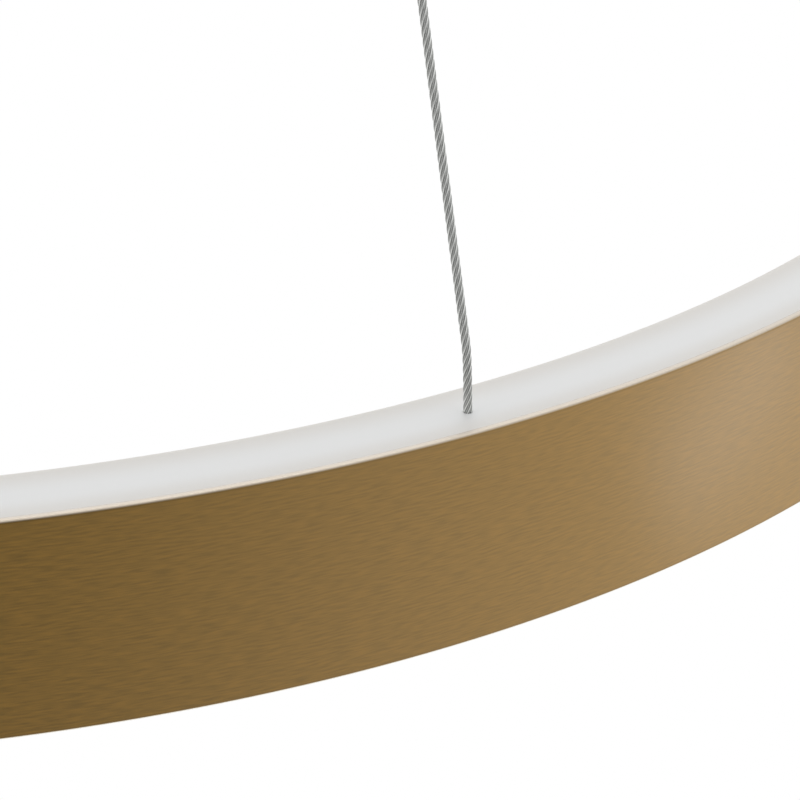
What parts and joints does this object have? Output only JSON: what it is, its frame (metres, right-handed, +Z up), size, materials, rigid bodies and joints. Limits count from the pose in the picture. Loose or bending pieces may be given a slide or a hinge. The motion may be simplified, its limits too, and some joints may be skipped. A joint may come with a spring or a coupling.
{
  "type": "led ring pendant light",
  "caption": "Hanging ring light: a brushed brass-tone band round an opal diffuser, held by thin steel wires from a round ceiling canopy.",
  "frame": {"origin": "on the ceiling plane, in the middle of the canopy and between the two ceiling screws", "axes": "+Z up into the ceiling; -Y towards the wire that the picture shows; the ceiling plate runs along X"},
  "size_m": [0.6, 0.6, 0.723],
  "materials": {
    "brass_tone_aluminium": "brushed and anodised in a brass tone",
    "opal_acrylic": "matt opal",
    "satin_brass": "satin",
    "steel_rope": "bare stranded rope",
    "zinc_steel": "zinc plated",
    "brass": "plain",
    "plain_aluminium": "as machined",
    "white_nylon": "moulded",
    "clear_nylon": "translucent",
    "white_tape": "white solder mask",
    "led_phosphor": "phosphor under clear resin",
    "green_board": "solder mask",
    "black_resin": "moulded",
    "grey_pvc": "sheath"
  },
  "bodies": {
    "canopy": {"canopy_cup": "brass_tone_aluminium", "ceiling_plate": "zinc_steel", "canopy_side_screws": "satin_brass", "driver_base": "white_nylon", "driver_cover": "white_nylon", "driver_board": "green_board", "driver_parts": "black_resin", "driver_screws": "zinc_steel", "terminal_block": "white_nylon", "terminal_screws": "zinc_steel", "terminal_fixing_screw": "zinc_steel", "earth_washer": "brass", "earth_screw": "zinc_steel", "outlet_gland": "clear_nylon", "outlet_nut": "clear_nylon", "feed_junction": "white_nylon", "driver_input_lead": "grey_pvc", "driver_output_lead": "grey_pvc", "gripper_barrel_front": "satin_brass", "gripper_nut_front": "zinc_steel", "gripper_spring_front": "zinc_steel", "suspension_wire_front": "steel_rope", "gripper_barrel_right": "satin_brass", "gripper_nut_right": "zinc_steel", "gripper_spring_right": "zinc_steel", "suspension_wire_right": "steel_rope", "gripper_barrel_left": "satin_brass", "gripper_nut_left": "zinc_steel", "gripper_spring_left": "zinc_steel", "suspension_wire_left": "steel_rope"},
    "ring": {"ring_band": "brass_tone_aluminium", "ring_diffuser": "opal_acrylic", "anchor_grub_screws": "zinc_steel", "band_splice_upper": "plain_aluminium", "band_splice_lower": "plain_aluminium", "splice_grub_screws": "zinc_steel", "led_tape": "white_tape", "led_chips": "led_phosphor", "tape_connector": "white_nylon", "ring_feed_bush": "clear_nylon", "wire_anchor_front": "plain_aluminium", "wire_stop_front": "plain_aluminium", "wire_anchor_right": "plain_aluminium", "wire_stop_right": "plain_aluminium", "wire_anchor_left": "plain_aluminium", "wire_stop_left": "plain_aluminium"},
    "nozzle_front": {"gripper_nozzle_front": "satin_brass", "gripper_balls_front": "zinc_steel"},
    "nozzle_right": {"gripper_nozzle_right": "satin_brass", "gripper_balls_right": "zinc_steel"},
    "nozzle_left": {"gripper_nozzle_left": "satin_brass", "gripper_balls_left": "zinc_steel"}
  },
  "joints": [
    {"name": "ring_lift", "type": "slide", "parent": "canopy", "child": "ring", "axis": [0, 0, 1], "range_m": [0, 0.3], "deforming": ["suspension_wire_front", "suspension_wire_right", "suspension_wire_left"]},
    {"name": "nozzle_push_front", "type": "slide", "parent": "canopy", "child": "nozzle_front", "axis": [0, 0, 1], "range_m": [0, 0.0018], "stiffness_N_per_m": 1200, "springref_m": -0.001, "deforming": ["gripper_spring_front"]},
    {"name": "nozzle_push_right", "type": "slide", "parent": "canopy", "child": "nozzle_right", "axis": [0, 0, 1], "range_m": [0, 0.0018], "stiffness_N_per_m": 1200, "springref_m": -0.001, "deforming": ["gripper_spring_right"]},
    {"name": "nozzle_push_left", "type": "slide", "parent": "canopy", "child": "nozzle_left", "axis": [0, 0, 1], "range_m": [0, 0.0018], "stiffness_N_per_m": 1200, "springref_m": -0.001, "deforming": ["gripper_spring_left"]}
  ]
}
